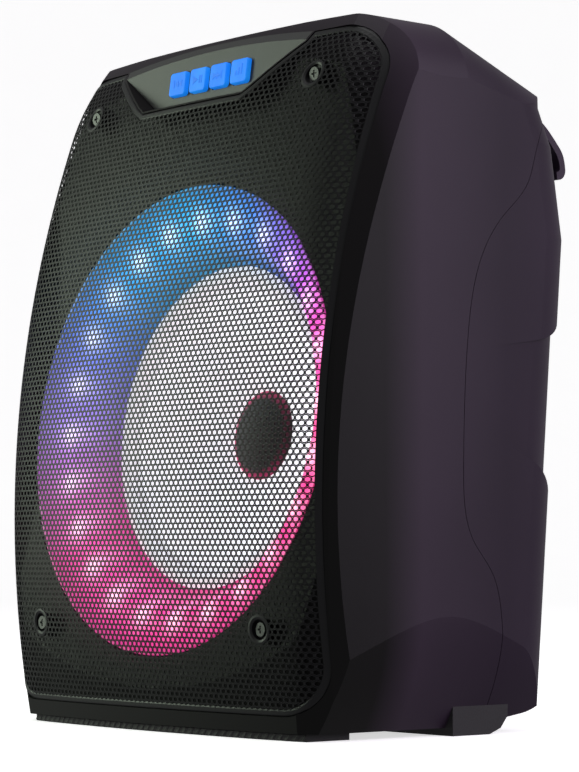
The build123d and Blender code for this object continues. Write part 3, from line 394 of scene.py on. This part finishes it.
SYMBOLS = (
    (bar(-3.0, 0, 0.9, 4.6), pointer(-0.6, 0, 3.4, -1), pointer(2.6, 0, 3.4, -1)),
    (pointer(-1.6, 0, 4.4, 1), bar(1.9, 0, 0.9, 4.4), bar(3.6, 0, 0.9, 4.4)),
    (pointer(-2.6, 0, 3.4, 1), pointer(0.6, 0, 3.4, 1), bar(3.0, 0, 0.9, 4.6)),
    (bar(-2.4, -1.0, 1.2, 2.6), bar(0, -0.2, 1.2, 4.2), bar(2.4, 0.6, 1.2, 5.8)),
)


def make_symbol(index):
    """Raised generic transport mark on one button."""
    points, faces = [], []
    for shape in SYMBOLS[index]:
        more_points, more_faces = raised_shape(shape, BUTTON_PITCH * (index - (BUTTON_COUNT - 1) / 2))
        start = len(points)
        points += more_points
        faces += [tuple(start + i for i in face) for face in more_faces]
    return new_piece(f"button_{index + 1}_symbol", points, faces, smooth=False)


# ---------------------------------------------------------------- materials
class Shader:
    """A Principled material and short calls that add nodes to it."""

    def __init__(self, name, colour, roughness, metallic=0.0):
        self.material = bpy.data.materials.new(name)
        self.material.use_nodes = True
        self.tree = self.material.node_tree
        self.surface = self.tree.nodes["Principled BSDF"]
        self.surface.inputs["Base Color"].default_value = (*colour, 1)
        self.surface.inputs["Roughness"].default_value = roughness
        self.surface.inputs["Metallic"].default_value = metallic
        self.place = self.add("ShaderNodeTexCoord").outputs["Object"]

    def add(self, kind, **settings):
        node = self.tree.nodes.new(kind)
        for key, value in settings.items():
            setattr(node, key, value)
        return node

    def link(self, output, target):
        self.tree.links.new(output, target)

    def noise(self, scale, detail=3.0, stretch=(1, 1, 1)):
        mapping = self.add("ShaderNodeMapping")
        mapping.inputs["Scale"].default_value = stretch
        self.link(self.place, mapping.inputs["Vector"])
        noise = self.add("ShaderNodeTexNoise")
        noise.inputs["Scale"].default_value = scale
        noise.inputs["Detail"].default_value = detail
        self.link(mapping.outputs["Vector"], noise.inputs["Vector"])
        return noise.outputs["Fac"]

    def ramp(self, value, stops):
        ramp = self.add("ShaderNodeValToRGB")
        elements = ramp.color_ramp.elements
        while len(elements) < len(stops):
            elements.new(0.5)
        for element, (position, colour) in zip(elements, stops):
            element.position = position
            element.color = (*colour, 1)
        self.link(value, ramp.inputs["Fac"])
        return ramp.outputs["Color"]

    def range(self, value, low, high):
        node = self.add("ShaderNodeMapRange")
        node.inputs["To Min"].default_value = low
        node.inputs["To Max"].default_value = high
        self.link(value, node.inputs["Value"])
        return node.outputs["Result"]

    def axes(self, output):
        """The X, Y and Z sockets of a vector."""
        split = self.add("ShaderNodeSeparateXYZ")
        self.link(output, split.inputs["Vector"])
        return split.outputs["X"], split.outputs["Y"], split.outputs["Z"]

    def squares(self, first, second):
        """Sum of two squares."""
        return self.math("ADD", self.math("MULTIPLY", first, first), self.math("MULTIPLY", second, second))

    def bell(self, square, spread):
        """Bell curve of a squared distance."""
        return self.math("EXPONENT", self.math("MULTIPLY", square, -1 / (2 * (spread * MM) ** 2)))

    def set(self, **values):
        """Set the surface's own sockets, named with _ for a space."""
        for key, value in values.items():
            self.surface.inputs[key.replace("_", " ")].default_value = value

    def math(self, operation, first, second=None):
        node = self.add("ShaderNodeMath", operation=operation)
        for socket, value in zip(node.inputs, (first, second)):
            if value is None:
                continue
            if isinstance(value, (int, float)):
                socket.default_value = value
            else:
                self.link(value, socket)
        return node.outputs["Value"]

    def bump(self, height, strength, distance):
        node = self.add("ShaderNodeBump")
        node.inputs["Strength"].default_value = strength
        node.inputs["Distance"].default_value = distance
        self.link(height, node.inputs["Height"])
        self.link(node.outputs["Normal"], self.surface.inputs["Normal"])


def shaded(colour, factor):
    return tuple(min(1.0, c * factor) for c in colour)


def textured(
    name, colour, roughness, metallic=0.0, grain=900.0, relief=0.00006, spread=0.25, stretch=(1, 1, 1)
):
    """Moulded, painted or metal surface: cloudy tone, fine grain and uneven gloss."""
    shader = Shader(name, colour, roughness, metallic)
    cloud = shader.noise(14.0, 4.0)
    tone = shader.ramp(cloud, ((0.25, shaded(colour, 1 - spread)), (0.75, shaded(colour, 1 + spread))))
    shader.link(tone, shader.surface.inputs["Base Color"])
    fine = shader.noise(grain, 2.0, stretch)
    gloss = shader.range(fine, roughness * 0.85, min(1.0, roughness * 1.15))
    shader.link(gloss, shader.surface.inputs["Roughness"])
    shader.bump(fine, 0.5, relief)
    return shader


def shell_material():
    """Fine-grained plastic, near black at the front frame and dark purple from there to the rear, with
    painted light and shade on the purple.
    """
    shader = textured("moulded_shell", (0.016, 0.012, 0.019), 0.45, grain=1400.0, relief=0.00005, spread=0.12)
    y = shader.axes(shader.place)[1]
    from_start = shader.math("ADD", y, -SHELL_TONE_AND_SHADE_START * MM)
    behind = shader.math("MULTIPLY", from_start, 1 / (SHELL_TONE_AND_SHADE_LENGTH * MM))
    # The near black at the frame is the shell's own colour. The purple's lighter, darker and lighter again
    # bands are painted light and shade.
    tone = shader.ramp(behind, (
        (0.0, (0.003, 0.003, 0.003)), (0.18, (0.004, 0.003, 0.004)), (0.30, (0.034, 0.022, 0.038)),
        (0.60, (0.020, 0.012, 0.024)), (1.0, (0.036, 0.024, 0.042)),
    ))
    cloud = shader.add("ShaderNodeMix", data_type="RGBA", blend_type="MULTIPLY")
    cloud.inputs["Factor"].default_value = 1.0
    shader.link(tone, cloud.inputs["A"])
    patches = shader.ramp(shader.noise(14.0, 4.0), ((0.2, (0.8, 0.8, 0.8)), (0.8, (1.0, 1.0, 1.0))))
    shader.link(patches, cloud.inputs["B"])
    shader.link(cloud.outputs["Result"], shader.surface.inputs["Base Color"])
    shader.set(Specular_IOR_Level=0.13)
    return shader.material


def grille_material():
    """Fine black powder coat."""
    shader = textured(
        "powder_coat", (0.006, 0.006, 0.007), 0.42, 0.1, grain=2200.0, relief=0.00003, spread=0.2
    )
    shader.set(Specular_IOR_Level=0.22)
    return shader.material


RING_STOPS = (              # share of a turn from +X, anticlockwise from the front, and the colour there
    (0.00, (1.0, 0.02, 0.25)), (0.07, (0.95, 0.05, 0.55)), (0.13, (0.40, 0.10, 1.0)),
    (0.19, (0.04, 0.26, 1.0)), (0.27, (0.00, 0.46, 1.0)), (0.36, (0.01, 0.40, 0.95)),
    (0.43, (0.12, 0.24, 0.95)), (0.50, (0.40, 0.24, 0.90)), (0.55, (0.65, 0.14, 0.62)),
    (0.61, (0.95, 0.05, 0.42)), (0.75, (1.0, 0.02, 0.34)), (1.00, (1.0, 0.02, 0.25)),
)


def ring_material():
    """Lit diffuser: colour runs round the ring and each LED shows as a pale spot."""
    shader = Shader("lit_diffuser", (0.10, 0.10, 0.12), 0.35)
    across, _, z = shader.axes(shader.place)
    rise = shader.math("SUBTRACT", z, AXIS_Z * MM)
    up = shader.math("MULTIPLY", rise, 1 / math.cos(AXIS_LEAN))
    angle = shader.math("ARCTAN2", up, across)
    turn = shader.math("FRACT", shader.math("ADD", shader.math("MULTIPLY", angle, 0.5 / math.pi), 1.0))
    colour = shader.ramp(turn, RING_STOPS)
    radius = shader.math("SQRT", shader.squares(up, across))
    first = 0.5 - LED_START * LED_COUNT / (2 * math.pi) + LED_COUNT
    share = shader.math("FRACT", shader.math("ADD", shader.math("MULTIPLY", turn, float(LED_COUNT)), first))
    arc = shader.math("MULTIPLY", shader.math("SUBTRACT", share, 0.5), 2 * math.pi * LED_R * MM / LED_COUNT)
    off = shader.math("SUBTRACT", radius, LED_R * MM)
    spot = shader.bell(shader.squares(arc, off), SPOT_SPREAD)
    band = shader.bell(shader.math("MULTIPLY", off, off), BAND_SPREAD)
    uneven = shader.range(shader.noise(40.0, 2.0), 0.85, 1.15)
    level = shader.math("MULTIPLY", shader.math("ADD", shader.math("MULTIPLY", band, 1.05), 0.14), uneven)
    mix = shader.add("ShaderNodeMix", data_type="RGBA")
    shader.link(shader.math("MULTIPLY", spot, 0.42), mix.inputs["Factor"])
    shader.link(colour, mix.inputs["A"])
    mix.inputs["B"].default_value = (1.0, 0.95, 1.0, 1)
    shader.link(mix.outputs["Result"], shader.surface.inputs["Emission Color"])
    shader.link(shader.math("ADD", level, spot), shader.surface.inputs["Emission Strength"])
    return shader.material


def cone_material(name, colour, glow):
    """Pressed pulp: fibrous, with the ring's light painted on as emission on the faces that look to the
    front.
    """
    shader = textured(name, colour, 0.7, grain=420.0, relief=0.00015, spread=0.06)
    # Painted light: emission on the faces that look to the front stands in for the ring's light on them.
    normal_y = shader.axes(shader.add("ShaderNodeNewGeometry").outputs["Normal"])[1]
    painted_ring_light = shader.math("MULTIPLY", normal_y, -3.0)
    painted_ring_light.node.use_clamp = True
    shader.link(shader.math("MULTIPLY", painted_ring_light, glow), shader.surface.inputs["Emission Strength"])
    # Colour of that painted light, pale with a cloudy tint.
    tone = shader.ramp(shader.noise(9.0), ((0.3, (0.78, 0.80, 0.86)), (0.7, (0.92, 0.88, 0.92))))
    shader.link(tone, shader.surface.inputs["Emission Color"])
    return shader.material


def cap_material():
    """Black pulp with the ring's red light painted on its rolled rim as emission, stronger on one side."""
    shader = textured("black_pulp", (0.006, 0.006, 0.007), 0.6, grain=500.0, relief=0.0001)
    across, _, z = shader.axes(shader.place)
    up = shader.math("SUBTRACT", z, (AXIS_Z - CAP_RIM_DEPTH * math.sin(AXIS_LEAN)) * MM)
    radius = shader.math("SQRT", shader.squares(up, across))
    # Painted light: a red band of emission on the rolled rim stands in for the ring's light.
    painted_rim_light = shader.ramp(radius, (
        (0.0, (0, 0, 0)), (0.0205, (0, 0, 0)), (0.0232, (0.9, 0.02, 0.22)), (0.0260, (0.9, 0.02, 0.22)),
    ))
    shader.link(painted_rim_light, shader.surface.inputs["Emission Color"])
    # The painted light is strongest on the -X side and fades to nothing on the +X side.
    side = shader.math("MULTIPLY_ADD", across, -18.0)
    side.node.inputs[2].default_value = 0.45
    side.node.use_clamp = True
    shader.link(side, shader.surface.inputs["Emission Strength"])
    return shader.material


def button_material():
    """Blue plastic, lit from behind."""
    shader = textured("lit_button", (0.008, 0.13, 0.62), 0.5, grain=700.0, relief=0.00002, spread=0.15)
    shader.set(Specular_IOR_Level=0.2, Emission_Strength=0.6)
    tone = shader.ramp(shader.noise(60.0), ((0.3, (0.005, 0.22, 0.95)), (0.7, (0.02, 0.33, 1.0))))
    shader.link(tone, shader.surface.inputs["Emission Color"])
    return shader.material


def symbol_material():
    """A slightly darker blue than the button under it."""
    shader = textured("button_symbol", (0.01, 0.16, 0.70), 0.5, grain=800.0)
    shader.set(Specular_IOR_Level=0.2, Emission_Color=(0.01, 0.17, 0.75, 1), Emission_Strength=0.5)
    return shader.material


SLOT_MATERIALS = {
    "shell_plastic": shell_material(),
    "panel_plastic": textured(
        "panel_satin", (0.014, 0.014, 0.015), 0.5, grain=1800.0, relief=0.00003, spread=0.1
    ).material,
    "grille_metal": grille_material(),
    "button_plastic": button_material(),
    "ring_diffuser": ring_material(),
    "led_resin": textured("led_resin", (0.9, 0.9, 0.85), 0.2, grain=500.0).material,
    "board_laminate": textured("solder_mask", (0.010, 0.090, 0.035), 0.35, grain=260.0).material,
    "chip_resin": textured("moulded_chip", (0.02, 0.02, 0.02), 0.55, grain=1200.0).material,
    "screw_steel": textured("black_zinc", (0.012, 0.012, 0.013), 0.38, 0.4, grain=700.0).material,
    # The cone and the surround both carry painted light from the ring as emission.
    "cone_paper": cone_material("cone_pulp", (0.85, 0.85, 0.88), 1.0),
    "cap_paper": cap_material(),
    "surround_rubber": cone_material("pale_rubber", (0.70, 0.70, 0.74), 0.8),
    "basket_steel": textured("satin_paint", (0.02, 0.02, 0.02), 0.45, 0.2, grain=900.0).material,
    "motor_steel": textured(
        "zinc_plate", (0.50, 0.50, 0.52), 0.32, 0.95, grain=500.0, stretch=(1, 1, 8)
    ).material,
    "ferrite": textured("ferrite", (0.05, 0.05, 0.055), 0.75, grain=600.0, relief=0.0002).material,
    "coil_copper": textured(
        "enamelled_wire", (0.60, 0.26, 0.12), 0.3, 0.9, grain=800.0, stretch=(1, 12, 1)
    ).material,
    "spider_cloth": textured("resin_cloth", (0.52, 0.38, 0.16), 0.8, grain=900.0, relief=0.0002).material,
    "felt": textured("felt", (0.24, 0.24, 0.26), 0.95, grain=700.0, relief=0.0004, spread=0.3).material,
    "foot_rubber": textured("foot_rubber", (0.008, 0.007, 0.009), 0.7, grain=1100.0, relief=0.00008).material,
    "can_aluminium": textured(
        "can_aluminium", (0.58, 0.58, 0.60), 0.34, 0.9, grain=500.0, stretch=(1, 1, 6)
    ).material,
    "socket_plastic": textured("socket_plastic", (0.022, 0.022, 0.024), 0.36, grain=1300.0).material,
    "socket_steel": textured("bright_nickel", (0.66, 0.65, 0.62), 0.22, 0.95, grain=600.0).material,
    "lead_pvc": textured("lead_sleeve", (0.03, 0.03, 0.03), 0.5, grain=900.0).material,
    "cell_wrap": textured("shrink_wrap", (0.04, 0.17, 0.40), 0.3, grain=300.0).material,
    "tray_plastic": textured("tray_plastic", (0.026, 0.026, 0.028), 0.4, grain=1200.0).material,
}


def dress(piece, slot):
    """Give a piece the finish of one of the record's slots."""
    piece.data.materials.clear()
    piece.data.materials.append(SLOT_MATERIALS[slot])


def dress_cad_nodes():
    for entry in frame["record"]["subparts"]:
        dress(nodes[entry["node"]], entry["material_slot"])


# ---------------------------------------------------------------- stage, light and camera
def make_stage():
    """Pale floor that curves up into a wall all round, in metres. It sheds no light on the object."""
    flat, bend, steps = 4.0, 2.5, 12
    angles = [math.pi / 2 * i / steps for i in range(1, steps + 1)]
    profile = [(0, 0), (1.5, 0), (flat, 0)]
    profile += [(flat + bend * math.sin(a), bend - bend * math.cos(a)) for a in angles]
    profile += [(flat + bend, 6.0)]
    floor = turned_mesh("studio_floor", profile, 96, lambda x, y, z: (x, y, z))
    shader = textured("studio_paint", (0.93, 0.93, 0.935), 0.9, grain=40.0, relief=0.0002, spread=0.01)
    shader.set(Emission_Color=(1, 1, 1, 1), Emission_Strength=0.62)
    floor.data.materials.append(shader.material)
    floor.visible_diffuse = False
    floor.visible_glossy = False


def add_area(name, position, target, size, power, colour=(1, 1, 1)):
    data = bpy.data.lights.new(name, "AREA")
    data.shape = "RECTANGLE"
    data.size, data.size_y = size
    data.energy = power
    data.color = colour
    lamp = bpy.data.objects.new(name, data)
    lamp.location = position
    lamp.rotation_euler = (Vector(target) - Vector(position)).to_track_quat("-Z", "Y").to_euler()
    bpy.context.scene.collection.objects.link(lamp)


def make_lights():
    world = bpy.data.worlds.new("studio_world")
    world.use_nodes = True
    background = world.node_tree.nodes["Background"]
    background.inputs["Color"].default_value = (1.0, 0.99, 1.0, 1)
    background.inputs["Strength"].default_value = 0.36
    bpy.context.scene.world = world
    middle = (0, 0, 0.2)
    add_area("side_softbox", (1.5, 0.9, 0.9), middle, (1.2, 1.6), 22.0, (0.94, 0.84, 1.0))
    add_area("left_strip", (-1.3, -0.9, 0.5), middle, (0.4, 1.0), 13.0, (0.84, 1.0, 0.78))
    add_area("top_softbox", (0.1, -0.3, 1.9), middle, (1.4, 1.0), 10.0)


def make_camera():
    yaw, pitch = math.radians(50.32), math.radians(3.56)
    data = bpy.data.cameras.new("photo_camera")
    data.lens = 126.8
    data.sensor_width = 36.0
    data.clip_end = 50.0
    camera = bpy.data.objects.new("photo_camera", data)
    camera.location = (1.1572, -0.9673, 0.0927)
    ahead = Vector((-math.sin(yaw) * math.cos(pitch), math.cos(yaw) * math.cos(pitch), math.sin(pitch)))
    camera.rotation_euler = ahead.to_track_quat("-Z", "Y").to_euler()
    bpy.context.scene.collection.objects.link(camera)
    bpy.context.scene.camera = camera
    bpy.context.scene.view_settings.view_transform = "Standard"


# ---------------------------------------------------------------- assembly
def place_piece(piece, body, slot):
    dress(piece, slot)
    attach(piece, body)


make_camera()
make_stage()
make_lights()
dress_cad_nodes()
place_piece(make_grille(), "cabinet", "grille_metal")
place_piece(make_light_ring(), "cabinet", "ring_diffuser")
place_piece(make_dust_dome(), "woofer_cone", "cap_paper")
place_piece(make_ribbed_foot(), "cabinet", "foot_rubber")
for i in range(BUTTON_COUNT):
    symbol = make_symbol(i)
    symbol.data.materials.append(symbol_material())
    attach(symbol, f"button_{i + 1}")
